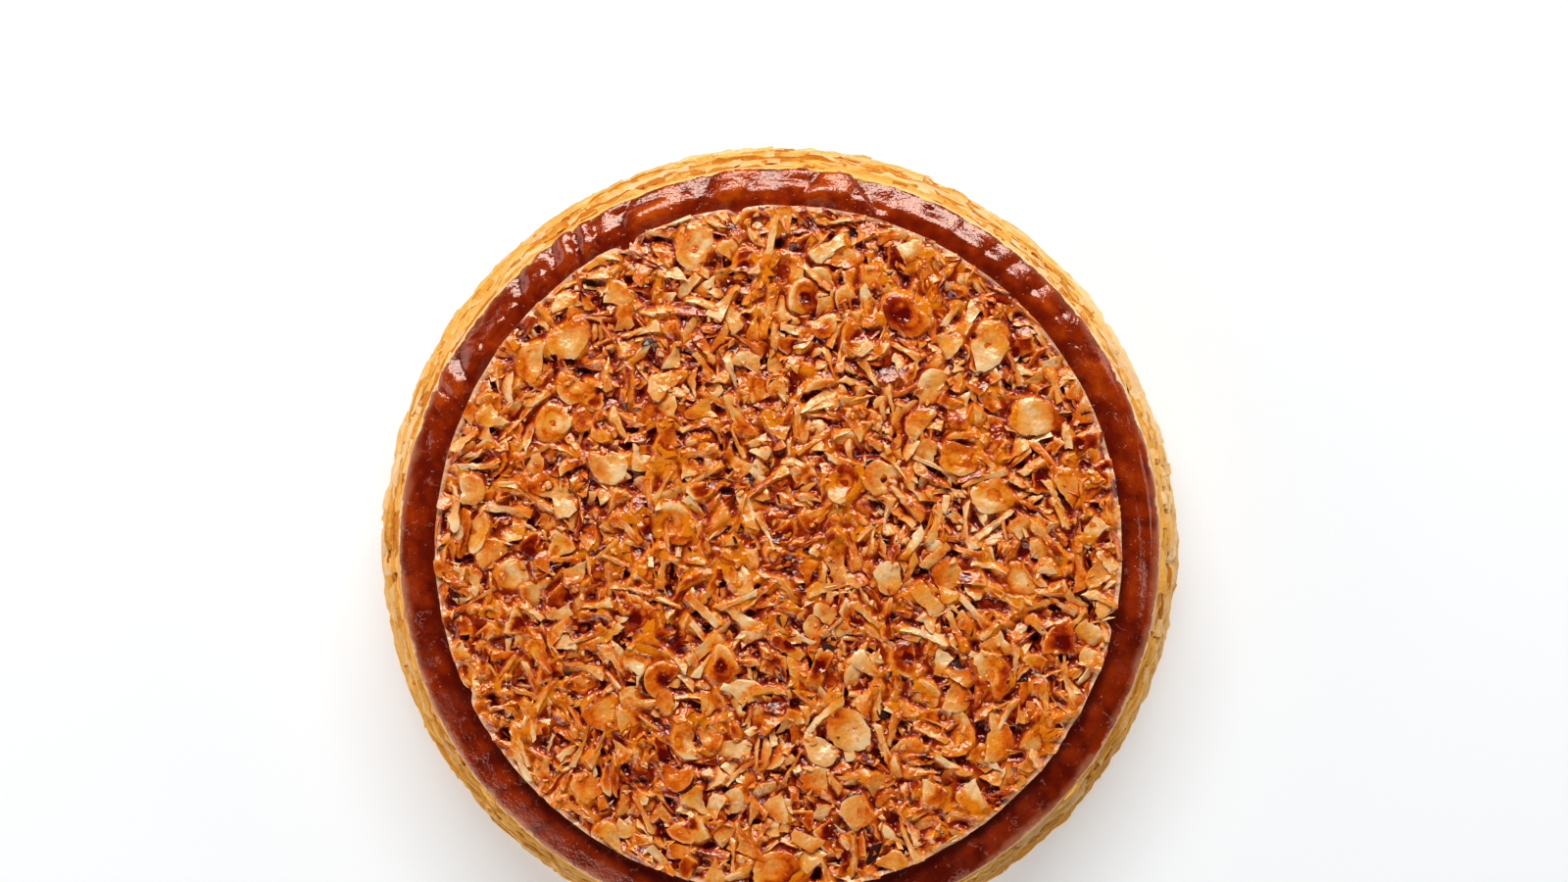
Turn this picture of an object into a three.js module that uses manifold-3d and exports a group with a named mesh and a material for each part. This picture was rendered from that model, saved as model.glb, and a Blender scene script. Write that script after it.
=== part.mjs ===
// Galette des rois: a round cake of puff pastry with a glazed top crust, and on it a cut disc of
// sliced hazelnuts set in caramel. Millimetres, +Z up, origin under the middle of the base.
import * as THREE from "three";
import { mergeVertices } from "three/addons/utils/BufferGeometryUtils.js";
import Module from "manifold-3d";

const wasm = await Module();
wasm.setup();

// Driving dimensions of the pastry
const DIAMETER = 250; // across the widest layers of the side
const PASTRY_HEIGHT = 38; // base to the flat of the top crust
const FOOT_TUCK = 5; // how far the side draws in under its widest layer
const SIDE_LEAN = 8.7; // how far the side draws in from its widest layer up to the crust
const WIDEST_SHARE = 0.33; // height of the widest layer, as a share of the pastry's height
const CREST_WIDTH = 5.8; // from the crust's outer edge in to the crest of its ring
const CREST_RISE = 0.6; // of the crest above the flat
const CRUST_DROP = 2.8; // from the flat to the crust's outer edge

// Relief of the pastry
const SEGMENTS = 144;
const LAYERS = 8; // bands of leaves that show on the side
const GROOVE_DEPTH = 1.5; // between two bands
const FLAKE_DEPTH = 2.6; // of the broken-off leaves along a band
const FLAKES_AROUND = 48;
const SWAY = 1.2; // slow in and out of the whole outline
const SWAYS_AROUND = 7;
const CRUST_STEPS = 5;
const CRUST_SWELL = 1.3; // height of the blisters of the crust
const CRUST_SWELLS_AROUND = 36;

// Driving dimensions of the disc of nuts
const DISC_DIAMETER = 208.4;
const DISC_THICKNESS = 5.2;
const DISC_SEGMENTS = 72;
const DISC_GAP = 0.3; // between the disc and the crust that it lies on
const CARAMEL_SHARE = 0.77; // caramel's share of the thickness, with the nuts standing above it

// The nut pieces that show, largest first, from the middle of the disc outwards
const NUT_DIAMETER = 13;
const SLICE_THICKNESS = 1.3;
const NUT_PIECES = 220;
const ROUND_SHARE = 0.42;
const BROKEN_SHARE = 0.34; // the rest are slivers
const ROUND_SIDES = 9;
const BROKEN_SIDES = 5;
const MOST_TILT = THREE.MathUtils.degToRad(9);
const GOLDEN_ANGLE = Math.PI * (3 - Math.sqrt(5));

// Sizes that follow from these
const WIDEST_RADIUS = DIAMETER / 2;
const WIDEST_HEIGHT = WIDEST_SHARE * PASTRY_HEIGHT;
const FOOT_RADIUS = WIDEST_RADIUS - FOOT_TUCK;
const SHOULDER_RADIUS = WIDEST_RADIUS - SIDE_LEAN;
const SHOULDER_HEIGHT = PASTRY_HEIGHT - CRUST_DROP;
const CREST_RADIUS = SHOULDER_RADIUS - CREST_WIDTH;
const CREST_HEIGHT = PASTRY_HEIGHT + CREST_RISE;
const DISC_RADIUS = DISC_DIAMETER / 2;
const DISC_BOTTOM = PASTRY_HEIGHT + DISC_GAP;
const CARAMEL_TOP = DISC_BOTTOM + CARAMEL_SHARE * DISC_THICKNESS;

const { lerp, smoothstep } = THREE.MathUtils;

// A repeatable number from 0 to 1 for a pair of whole numbers
function chance(index, seed) {
  const wave = Math.sin(index * 127.1 + seed * 311.7) * 43758.5453;
  return wave - Math.floor(wave);
}

// Smooth noise from 0 to 1 round the circle, with a given number of bumps in the full turn
function ringNoise(turn, bumps, seed) {
  const place = turn * bumps;
  const bump = Math.floor(place);
  const from = chance(bump % bumps, seed);
  const to = chance((bump + 1) % bumps, seed);
  return lerp(from, to, smoothstep(place - bump, 0, 1));
}

// Radius of the side at a height, before any relief: widest low down, drawn in at the foot and the crust
function sideRadius(height) {
  if (height < WIDEST_HEIGHT) {
    return WIDEST_RADIUS - FOOT_TUCK * (1 - height / WIDEST_HEIGHT) ** 2;
  }
  const climb = (height - WIDEST_HEIGHT) / (SHOULDER_HEIGHT - WIDEST_HEIGHT);
  return WIDEST_RADIUS - SIDE_LEAN * climb ** 1.4;
}

// Half the outline of a cut through the pastry, from the middle of the base to the middle of the top
function pastryProfile() {
  const points = [new THREE.Vector2(0, 0), new THREE.Vector2(FOOT_RADIUS - GROOVE_DEPTH, 0)];
  const bandHeight = SHOULDER_HEIGHT / LAYERS;
  for (let band = 0; band < LAYERS; band++) {
    const ridge = (band + 0.5) * bandHeight;
    const groove = (band + 1) * bandHeight;
    points.push(new THREE.Vector2(sideRadius(ridge), ridge));
    if (band < LAYERS - 1) points.push(new THREE.Vector2(sideRadius(groove) - GROOVE_DEPTH, groove));
  }
  const crust = new THREE.CubicBezierCurve(
    new THREE.Vector2(SHOULDER_RADIUS, SHOULDER_HEIGHT),
    new THREE.Vector2(SHOULDER_RADIUS, SHOULDER_HEIGHT + 0.7 * CRUST_DROP),
    new THREE.Vector2(CREST_RADIUS + 0.55 * CREST_WIDTH, CREST_HEIGHT),
    new THREE.Vector2(CREST_RADIUS, CREST_HEIGHT),
  );
  points.push(...crust.getPoints(CRUST_STEPS));
  const dip = (CREST_RADIUS + DISC_RADIUS) / 2;
  points.push(new THREE.Vector2(dip, PASTRY_HEIGHT + 0.35 * CREST_RISE));
  points.push(new THREE.Vector2(DISC_RADIUS, PASTRY_HEIGHT), new THREE.Vector2(0, PASTRY_HEIGHT));
  return points;
}

// The slow in and out of the whole outline
function sway(turn) {
  return SWAY * (ringNoise(turn, SWAYS_AROUND, LAYERS) - 0.5);
}

// How far in a point of the side lies, where leaves have broken off along a band
function sideRelief(turn, height) {
  const band = Math.round((height / SHOULDER_HEIGHT) * 2 * LAYERS);
  return FLAKE_DEPTH * ringNoise(turn, FLAKES_AROUND, band) ** 2 * smoothstep(height, 0, WIDEST_HEIGHT);
}

// How far a point of the crust's ring is raised: blisters that fade out towards the flat and the edge
function crustRelief(turn, radius) {
  const inner = smoothstep(radius, DISC_RADIUS, CREST_RADIUS);
  const outer = 1 - smoothstep(radius, CREST_RADIUS, SHOULDER_RADIUS + 1);
  const swell = ringNoise(turn, CRUST_SWELLS_AROUND, 91) - 0.5;
  return CRUST_SWELL * swell * inner * outer;
}

// The pastry: its profile turned about the axis, with the relief of the side and of the crust
function pastryGeometry() {
  const geometry = new THREE.LatheGeometry(pastryProfile(), SEGMENTS).rotateX(Math.PI / 2);
  const points = geometry.getAttribute("position");
  const point = new THREE.Vector3();
  for (let i = 0; i < points.count; i++) {
    point.fromBufferAttribute(points, i);
    const radius = Math.hypot(point.x, point.y);
    const onAxis = radius < 1;
    const onFlat = point.z > SHOULDER_HEIGHT && radius < DISC_RADIUS + 0.5;
    if (onAxis || onFlat) continue;
    const turn = (Math.atan2(point.y, point.x) / (2 * Math.PI) + 1) % 1;
    const onCrust = point.z > SHOULDER_HEIGHT - 0.01;
    const inwards = sway(turn) + (onCrust ? 0 : sideRelief(turn, point.z));
    const share = 1 - (inwards * smoothstep(radius, DISC_RADIUS, CREST_RADIUS)) / radius;
    const rise = onCrust ? crustRelief(turn, radius) : 0;
    points.setXYZ(i, point.x * share, point.y * share, point.z + rise);
  }
  return geometry;
}

// A closed geometry as a solid that can be joined and cut
function solidOf(geometry) {
  const bare = geometry.clone();
  bare.deleteAttribute("normal");
  bare.deleteAttribute("uv");
  const merged = mergeVertices(bare, 1e-4);
  const mesh = new wasm.Mesh({
    numProp: 3,
    vertProperties: new Float32Array(merged.getAttribute("position").array),
    triVerts: new Uint32Array(merged.index.array),
  });
  return new wasm.Manifold(mesh);
}

// A solid as a geometry
function geometryOf(solid) {
  const mesh = solid.getMesh();
  const geometry = new THREE.BufferGeometry();
  geometry.setAttribute("position", new THREE.BufferAttribute(mesh.vertProperties, 3));
  geometry.setIndex(new THREE.BufferAttribute(mesh.triVerts, 1));
  geometry.computeVertexNormals();
  return geometry;
}

// A round plate about the axis, between two heights
function plate(radius, bottom, top) {
  const profile = [
    new THREE.Vector2(0, bottom),
    new THREE.Vector2(radius, bottom),
    new THREE.Vector2(radius, top),
    new THREE.Vector2(0, top),
  ];
  return new THREE.LatheGeometry(profile, DISC_SEGMENTS).rotateX(Math.PI / 2);
}

// Outline of a slice across the nut: an uneven ring of points, over a share of the full turn
function sliceOutline(piece, sides, arc) {
  const points = [];
  const size = (NUT_DIAMETER / 2) * lerp(0.78, 1.02, chance(piece, 2));
  const steps = arc < 1 ? sides - 1 : sides;
  for (let side = 0; side < sides; side++) {
    const angle = (side / steps) * arc * 2 * Math.PI;
    const radius = size * lerp(0.86, 1.06, chance(piece, 10 + side));
    points.push(new THREE.Vector2(radius * Math.cos(angle), radius * Math.sin(angle)));
  }
  return new THREE.Shape(points);
}

// Outline of a sliver: a thin four-sided strip cut off the edge of a slice
function sliverOutline(piece) {
  const length = NUT_DIAMETER * lerp(0.55, 0.95, chance(piece, 3));
  const width = NUT_DIAMETER * lerp(0.15, 0.26, chance(piece, 4));
  return new THREE.Shape([
    new THREE.Vector2(-length / 2, -width / 2),
    new THREE.Vector2(length / 2, -width * 0.3),
    new THREE.Vector2(length * 0.42, width / 2),
    new THREE.Vector2(-length * 0.46, width * 0.4),
  ]);
}

// The outline of one nut piece, by its kind
function pieceOutline(piece) {
  const kind = chance(piece, 1);
  if (kind < ROUND_SHARE) return sliceOutline(piece, ROUND_SIDES, 1);
  if (kind < ROUND_SHARE + BROKEN_SHARE) {
    return sliceOutline(piece, BROKEN_SIDES, lerp(0.36, 0.55, chance(piece, 5)));
  }
  return sliverOutline(piece);
}

// One nut piece, half sunk in the caramel with a small tilt, at its place in an even spiral
function nutPiece(piece) {
  const radius = DISC_RADIUS * Math.sqrt((piece + 0.5) / NUT_PIECES);
  const angle = piece * GOLDEN_ANGLE;
  const tilt = new THREE.Euler(
    MOST_TILT * (2 * chance(piece, 6) - 1),
    MOST_TILT * (2 * chance(piece, 7) - 1),
    2 * Math.PI * chance(piece, 8),
    "XYZ",
  );
  const sunk = SLICE_THICKNESS * lerp(0.35, 0.6, chance(piece, 9));
  const place = new THREE.Vector3(radius * Math.cos(angle), radius * Math.sin(angle), CARAMEL_TOP - sunk);
  const matrix = new THREE.Matrix4().compose(
    place,
    new THREE.Quaternion().setFromEuler(tilt),
    new THREE.Vector3(1, 1, 1),
  );
  const options = { depth: SLICE_THICKNESS, bevelEnabled: false };
  return new THREE.ExtrudeGeometry(pieceOutline(piece), options).applyMatrix4(matrix);
}

// The disc of nuts: a plate of caramel with the nut pieces fused on, cut round by a ring
function discGeometry() {
  let disc = solidOf(plate(DISC_RADIUS, DISC_BOTTOM, CARAMEL_TOP));
  for (let piece = 0; piece < NUT_PIECES; piece++) {
    disc = disc.add(solidOf(nutPiece(piece)));
  }
  const ring = solidOf(plate(DISC_RADIUS, DISC_BOTTOM, DISC_BOTTOM + 2 * DISC_THICKNESS));
  return geometryOf(disc.intersect(ring));
}

// A named piece of the galette, with its finish
function piece(name, geometry, colour, roughness) {
  const material = new THREE.MeshStandardMaterial({ color: colour, roughness, metalness: 0 });
  const mesh = new THREE.Mesh(geometry, material);
  mesh.name = name;
  return mesh;
}

const galette = new THREE.Group();
galette.add(piece("pastry", pastryGeometry(), 0xd99a4a, 0.6));
galette.add(piece("nut_disc", discGeometry(), 0xc56d2c, 0.35));

// The origin goes under the middle of the outline, which the relief has shifted a little
const middle = new THREE.Box3().setFromObject(galette).getCenter(new THREE.Vector3());
for (const mesh of galette.children) mesh.position.set(-middle.x, -middle.y, 0);

export default galette;
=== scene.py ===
# %% [markdown]
# A galette des rois is a round cake of puff pastry. This one has golden leaves at its side, a brown
# glazed crust, and on top a flat disc of sliced hazelnuts set in caramel. The solids of the part give
# its frame and its sizes. This lesson dresses them: camera and light first, then the pastry, then the
# nuts that are dropped on each other one by one, and at the end the caramel that holds them together.

# %% Load the solids
import math
from collections import namedtuple

import bpy
import numpy as np
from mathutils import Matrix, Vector


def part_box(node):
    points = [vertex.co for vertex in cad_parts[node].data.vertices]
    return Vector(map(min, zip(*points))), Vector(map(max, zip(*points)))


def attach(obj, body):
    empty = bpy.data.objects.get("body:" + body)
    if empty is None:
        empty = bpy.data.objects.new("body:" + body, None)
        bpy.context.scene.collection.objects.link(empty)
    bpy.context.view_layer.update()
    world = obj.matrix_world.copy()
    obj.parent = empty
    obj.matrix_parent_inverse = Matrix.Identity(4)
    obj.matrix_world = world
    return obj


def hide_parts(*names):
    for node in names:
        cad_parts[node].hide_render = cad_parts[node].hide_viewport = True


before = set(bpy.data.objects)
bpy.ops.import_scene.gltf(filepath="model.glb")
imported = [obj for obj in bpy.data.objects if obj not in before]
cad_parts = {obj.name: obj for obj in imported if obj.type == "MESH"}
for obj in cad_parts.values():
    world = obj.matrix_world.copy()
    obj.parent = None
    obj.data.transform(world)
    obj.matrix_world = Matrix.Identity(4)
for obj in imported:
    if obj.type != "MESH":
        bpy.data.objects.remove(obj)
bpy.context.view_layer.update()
MM = 0.001
print("solids:", sorted(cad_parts))

# %% [markdown]
# A baker thinks in millimetres, so the sizes here are in millimetres too. Those of the disc of nuts
# are read from the box of its solid, which was turned about the axis: the middle of that box is the
# axis of the whole cake. The solid lies a hair above the flat of the crust.

# %% Sizes of the disc
DISC_GAP = 0.3
disc_low, disc_high = (np.array(corner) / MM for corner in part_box("nut_disc"))
AXIS = (disc_low + disc_high)[:2] / 2
DISC_RADIUS = (disc_high - disc_low)[0] / 2
DISC_TOP = disc_high[2]
CRUST_FLAT = disc_low[2] - DISC_GAP
print("axis", AXIS.round(2), "disc radius", DISC_RADIUS.round(1), "disc top", DISC_TOP.round(1))

# %% [markdown]
# The photograph looks straight down. The sizes of the rings at their different heights give the
# camera's distance, and their shift towards the lower edge gives its place: a little beyond the
# middle of the cake. No tilt and no shift are needed.

# %% Camera
CAMERA_PLACE = (1.2, 32.3, 767)
LENS = 55
bpy.ops.object.select_all(action="DESELECT")
bpy.ops.object.camera_add(location=Vector(CAMERA_PLACE) * MM, rotation=(0, 0, 0))
camera = bpy.context.object
camera.data.lens = LENS
bpy.context.scene.camera = camera
print("camera", tuple(round(x, 3) for x in camera.location))

# %% [markdown]
# The light is a studio's: a large soft window beyond the cake, weak ones left and right, and a wide
# low one on the near side. Straight above it is dark, because that is where the camera stands, and so
# the flat parts of the glaze and the caramel mirror nothing and keep their deep colour.

# %% Lights
WARM_WHITE = (1, 0.975, 0.95)


def soft_window(name, place, width, height, power):
    """A soft light that looks at the middle of the cake, its place and size in metres."""
    turn = (-Vector(place)).to_track_quat("-Z", "Y").to_euler()
    bpy.ops.object.light_add(type="AREA", location=place, rotation=turn)
    light = bpy.context.object
    light.name = name
    light.data.shape = "RECTANGLE"
    light.data.size = width
    light.data.size_y = height
    light.data.energy = power
    light.data.color = WARM_WHITE


soft_window("window_beyond", (0.0, 1.05, 1.0), width=1.5, height=0.42, power=24.5)
soft_window("window_left", (-1.3, 0.3, 0.42), width=1.2, height=0.45, power=3.2)
soft_window("window_right", (1.3, 0.3, 0.42), width=1.2, height=0.45, power=3.9)
soft_window("window_near", (-0.75, -1.2, 0.5), width=2.6, height=0.6, power=15)
print("lights", [o.name for o in bpy.data.objects if o.type == "LIGHT"])

# %% Dim room
ROOM_GREY = 0.025
room = bpy.data.worlds.new("room")
bpy.context.scene.world = room
room.use_nodes = True
background = room.node_tree.nodes["Background"]
background.inputs["Color"].default_value = (1, 1, 1, 1)
background.inputs["Strength"].default_value = ROOM_GREY
bpy.context.scene.view_settings.view_transform = "Standard"
print("room light", ROOM_GREY)

# %% [markdown]
# Materials are made of nodes. Wiring them by hand takes many lines, so two small helpers let Python
# do it. A Signal is a socket that can be added to or multiplied like a number, and a Finish is a
# material that makes nodes, feeds their sockets and hands back their outputs as Signals.

# %% A socket to calculate with
class Signal:
    """A shader socket. Sums written with it add Math nodes."""

    def __init__(self, finish, socket):
        self.finish = finish
        self.socket = socket

    def math(self, operation, *values):
        sockets = dict(enumerate(values))
        return self.finish.node("ShaderNodeMath", {"operation": operation}, sockets)

    def __add__(self, other):
        return self.math("ADD", self, other)

    def __sub__(self, other):
        return self.math("SUBTRACT", self, other)

    def __rsub__(self, other):
        return self.math("SUBTRACT", other, self)

    def __mul__(self, other):
        return self.math("MULTIPLY", self, other)

    __radd__ = __add__
    __rmul__ = __mul__


# %% A material to build on
def set_stops(ramp, stops):
    """Give a colour ramp its stops, each a place and a colour."""
    while len(ramp.elements) < len(stops):
        ramp.elements.new(1)
    for element, (place, colour) in zip(ramp.elements, stops):
        element.position = place
        element.color = colour


class Finish:
    """A material whose nodes are made by Python calls."""

    def __init__(self, name):
        self.material = bpy.data.materials.new(name)
        self.material.use_nodes = True
        self.tree = self.material.node_tree
        self.shader = self.tree.nodes["Principled BSDF"]

    def feed(self, socket, value):
        """Link a Signal to a socket, or set the socket's own value."""
        if isinstance(value, Signal):
            self.tree.links.new(value.socket, socket)
        else:
            socket.default_value = value

    def node(self, kind, settings=None, sockets=None, output=0):
        """A new node: its settings first, then what goes into its sockets."""
        made = self.tree.nodes.new(kind)
        for key, value in (settings or {}).items():
            if key == "stops":
                set_stops(made.color_ramp, value)
            else:
                setattr(made, key, value)
        for key, value in (sockets or {}).items():
            self.feed(made.inputs[key], value)
        return Signal(self, made.outputs[output])

    def surface(self, **sockets):
        """Feed the shader itself; an underscore stands for a space in a socket's name."""
        for key, value in sockets.items():
            self.feed(self.shader.inputs[key.replace("_", " ")], value)
        print(self.material.name, "finish of", len(self.tree.nodes), "nodes")


# %% [markdown]
# A handful of node recipes come back in every finish of this cake: noise that may be squeezed along
# an axis, a value that the mesh carries, a soft step from 0 to 1, a mix of two colours, a ramp of
# several, and a bump for relief that is finer than the mesh. A Signal knows its finish, so a recipe
# that works on a Signal needs nothing else. Colours are given as they look on a screen, from 0 to
# 255, and turned into the linear values that the shader wants.

# %% Recipes for the finishes
EVEN = (1, 1, 1)
GRAIN_ROUGHNESS = 0.55


def screen_colour(red, green, blue):
    """A screen colour as linear red, green, blue and opacity."""
    shares = [value / 255 for value in (red, green, blue)]
    linear = [s / 12.92 if s < 0.04045 else ((s + 0.055) / 1.055) ** 2.4 for s in shares]
    return (*linear, 1)


def grain(finish, size, stretch=EVEN, detail=3):
    """Noise from 0 to 1 with lumps of a size in millimetres, smaller along a stretched axis."""
    place = finish.node("ShaderNodeTexCoord", output="Object")
    stretched = finish.node("ShaderNodeVectorMath", {"operation": "MULTIPLY"}, {0: place, 1: stretch})
    shape = {"Scale": 1 / (size * MM), "Detail": detail, "Roughness": GRAIN_ROUGHNESS}
    return finish.node("ShaderNodeTexNoise", {}, {"Vector": stretched, **shape})


def carried(finish, name):
    """A value that the mesh carries at its points."""
    return finish.node("ShaderNodeAttribute", {"attribute_name": name}, output="Fac")


def step(value, low, high):
    """A soft step: 0 below low, 1 above high."""
    sockets = {"Value": value, "From Min": low, "From Max": high}
    return value.finish.node("ShaderNodeMapRange", {"interpolation_type": "SMOOTHSTEP"}, sockets)


def mixed(share, first, second):
    """One colour at share 0 and another at share 1."""
    sockets = {0: share, 6: first, 7: second}
    return share.finish.node("ShaderNodeMix", {"data_type": "RGBA"}, sockets, output=2)


def ramped(value, *stops):
    """A colour that changes along stops."""
    return value.finish.node("ShaderNodeValToRGB", {"stops": stops}, {0: value})


def bumped(height, depth, strength):
    """A normal for relief of a depth in millimetres."""
    sockets = {"Height": height, "Distance": depth * MM, "Strength": strength}
    return height.finish.node("ShaderNodeBump", {}, sockets)


# %% [markdown]
# The floor is a plain pale sheet, wide enough that no edge shows, a hair below the cake so that the
# two don't flicker into each other. It isn't part of the cake, so it isn't joined to it.

# %% Floor
FLOOR_SIZE = 8
FLOOR_PLACE = (0, 0, -0.0003)
bpy.ops.object.select_all(action="DESELECT")
bpy.ops.mesh.primitive_plane_add(size=FLOOR_SIZE, location=FLOOR_PLACE)
floor = bpy.context.object
floor.name = "floor"
paper = Finish("pale_paper")
paper.surface(
    Base_Color=(0.71, 0.75, 0.785, 1),
    Roughness=0.9,
    Emission_Color=(1, 1, 1, 1),
    Emission_Strength=0.32,
)
floor.data.materials.append(paper.material)
print("floor", FLOOR_SIZE, "m")

# %% [markdown]
# The pastry's relief comes from noise that closes on itself round the cake. It follows the same rule
# as the solids, so the slow sway of the outline is the same. A second noise also changes with height,
# for leaves that open and close along the side. A place round the cake is given as a turn, from 0 on
# the right over 0.25 at the far side to 1.

# %% Noise round the cake
TURN = 2 * math.pi
INDEX_STEP = 127.1
SEED_STEP = 311.7
SCATTER = 43758.5453


def chance(index, seed):
    """A repeatable number from 0 to 1 for whole numbers."""
    wave = np.sin(index * INDEX_STEP + seed * SEED_STEP) * SCATTER
    return wave - np.floor(wave)


def ease(share):
    """A share from 0 to 1 with soft ends."""
    share = np.clip(share, 0, 1)
    return share * share * (3 - 2 * share)


def between(value, low, high):
    """0 below low, 1 above high, soft between."""
    return ease((value - low) / (high - low))


def ring_noise(turn, bumps, seed):
    """Smooth noise from 0 to 1 with a number of bumps in the full turn."""
    place = turn * bumps
    bump = np.floor(place)
    start = chance(bump % bumps, seed)
    end = chance((bump + 1) % bumps, seed)
    return start + (end - start) * ease(place - bump)


def wall_noise(turn, level, bumps, seed):
    """Ring noise that also changes smoothly from one level to the next."""
    floor_level = np.floor(level)
    lower = ring_noise(turn, bumps, seed + floor_level)
    upper = ring_noise(turn, bumps, seed + floor_level + 1)
    return lower + (upper - lower) * ease(level - floor_level)


def degrees_past(turn, start):
    """How many degrees a turn lies past a start in degrees, from -180 to 180."""
    return (turn * 360 - start + 180) % 360 - 180


def hill(turn, middle, width):
    """A soft hill round the cake, its middle and half width in degrees."""
    return np.exp(-((degrees_past(turn, middle) / width) ** 2))


both_ends = [round(ring_noise(turn, bumps=7, seed=8), 3) for turn in (0, 1)]
print("noise at the start and the end of a turn", both_ends)

# %% [markdown]
# The pastry could be cut from a cylinder, but a baker's side isn't a cylinder: it bulges a third of
# the way up, tucks in at the foot and leans in to the crust, which rolls over to the flat top. So a
# circle of edges is drawn at the foot and extruded upwards ring by ring along that profile, each ring
# scaled to its radius. The sizes are those of the solid.

# %% Profile of the pastry
WIDEST_RADIUS = 125
WIDEST_HEIGHT = 12.54
FOOT_TUCK = 5
SIDE_LEAN = 8.7
LEAN_CURVE = 1.4
SHOULDER_RADIUS = WIDEST_RADIUS - SIDE_LEAN
SHOULDER_HEIGHT = 35.2
SLOPE_RADIUS = 115.2
SLOPE_HEIGHT = 36.6
SHOULDER_HANDLE = (0.2, 0.8)
SLOPE_HANDLE = (0.6, -0.25)
CREST_RADIUS = 109.0
CREST_HEIGHT = 38.8
DIP_RISE = 0.6
RINGS_UNDER_DISC = (0, 5, 25)
SIDE_ROWS = 23
ROLL_ROWS = 2
SLOPE_ROWS = 4


def side_radius(height):
    """Radius of the side at a height, before any relief."""
    tuck = FOOT_TUCK * np.clip(1 - height / WIDEST_HEIGHT, 0, 1) ** 2
    climb = np.clip((height - WIDEST_HEIGHT) / (SHOULDER_HEIGHT - WIDEST_HEIGHT), 0, 1)
    return WIDEST_RADIUS - tuck - SIDE_LEAN * climb**LEAN_CURVE


def crust_curve(share):
    """Radius and height of the rolled edge of the crust, up to where its even slope starts."""
    start = np.array([SHOULDER_RADIUS, SHOULDER_HEIGHT])
    end = np.array([SLOPE_RADIUS, SLOPE_HEIGHT])
    weights = [(1 - share) ** 3, 3 * share * (1 - share) ** 2, 3 * share**2 * (1 - share), share**3]
    return tuple(np.dot(weights, [start, start + SHOULDER_HANDLE, end + SLOPE_HANDLE, end]))


profile = [(side_radius(h), h) for h in np.linspace(0, SHOULDER_HEIGHT, SIDE_ROWS + 1)]
profile += [crust_curve(share) for share in np.linspace(0, 1, ROLL_ROWS + 1)[1:]]
for share in np.linspace(0, 1, SLOPE_ROWS + 1)[1:]:
    radius = SLOPE_RADIUS + (CREST_RADIUS - SLOPE_RADIUS) * share
    profile.append((radius, SLOPE_HEIGHT + (CREST_HEIGHT - SLOPE_HEIGHT) * share))
profile.append(((CREST_RADIUS + DISC_RADIUS) / 2, CRUST_FLAT + DIP_RISE))
profile += [(DISC_RADIUS - inset, CRUST_FLAT) for inset in RINGS_UNDER_DISC]
print("profile of", len(profile), "rings")

# %% Pastry body
COLUMNS = 180


def face_outwards():
    """In edit mode, turn all faces of the piece outwards, and leave edit mode."""
    bpy.ops.mesh.select_all(action="SELECT")
    bpy.ops.mesh.normals_make_consistent(inside=False)
    bpy.ops.object.mode_set(mode="OBJECT")


on_axis = (*(AXIS * MM), 0)
foot_radius = profile[0][0] * MM
bpy.ops.object.select_all(action="DESELECT")
bpy.ops.mesh.primitive_circle_add(
    vertices=COLUMNS, radius=foot_radius, location=on_axis, fill_type="NOTHING"
)
pastry = bpy.context.object
pastry.name = "flaky_pastry"
bpy.ops.object.transform_apply(location=True)
bpy.ops.object.mode_set(mode="EDIT")
bpy.ops.mesh.select_all(action="SELECT")
for (radius, height), (next_radius, next_height) in zip(profile, profile[1:]):
    rise = (0, 0, (next_height - height) * MM)
    share = next_radius / radius
    bpy.ops.mesh.extrude_edges_move(TRANSFORM_OT_translate={"value": rise})
    bpy.ops.transform.resize(value=(share, share, 1), center_override=on_axis)
face_outwards()
print("cage of", len(pastry.data.polygons), "faces")

# %% [markdown]
# The rings make a cage that is too coarse for flakes. Two rounds of subdivision round it off and
# leave about a millimetre between points. Then the side and the crust are shaped point by point, as a
# sculptor would with brushes, by moving each point along the way it faces.

# %% Finer mesh
def take(piece):
    """Select one piece alone, for the operators that follow."""
    bpy.ops.object.select_all(action="DESELECT")
    piece.select_set(True)
    bpy.context.view_layer.objects.active = piece


def arrows_of(values, key):
    """The three numbers at each point of a mesh, as rows."""
    flat = np.zeros(len(values) * 3, np.float32)
    values.foreach_get(key, flat)
    return flat.reshape(-1, 3).astype(float)


def points_of(piece):
    """The points of a mesh in millimetres."""
    return arrows_of(piece.data.vertices, "co") / MM


take(pastry)
smoother = pastry.modifiers.new("smoother", "SUBSURF")
smoother.levels = smoother.render_levels = 2
bpy.ops.object.modifier_apply(modifier=smoother.name)
places = points_of(pastry)
ways = arrows_of(pastry.data.vertex_normals, "vector")
turns = (np.arctan2(places[:, 1] - AXIS[1], places[:, 0] - AXIS[0]) / TURN) % 1
radii = np.hypot(places[:, 0] - AXIS[0], places[:, 1] - AXIS[1])
heights = places[:, 2]
print("pastry of", len(places), "points")

# %% [markdown]
# Puff pastry rises in leaves, and the leaves part into bundles: two for each of the solid's six. From
# above each bundle shows as a pale ledge, and stretches of it have broken off and stand further in.
# So the side is a stair, with a wall for each bundle and a ledge up to the next. The leaves wave up
# and down, and the stair waves with them.

# %% Bundles of leaves
SWAY = 1.2
SLOW_WAVE = 2.6
FAST_WAVE = 1.3
WAVES_FROM = (0, 6)
WAVES_UP_TO = (33, 35.5)
BUNDLES = 12
BUNDLE_PITCH = SHOULDER_HEIGHT / BUNDLES
LEDGE_SHARE = 0.34
LONG_BREAKS = 58
LONG_BREAK_DEPTH = 1.1
SHORT_BREAKS = 230
SHORT_BREAK_DEPTH = 0.9
BREAKS_GROW = (-6, 8)


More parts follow.
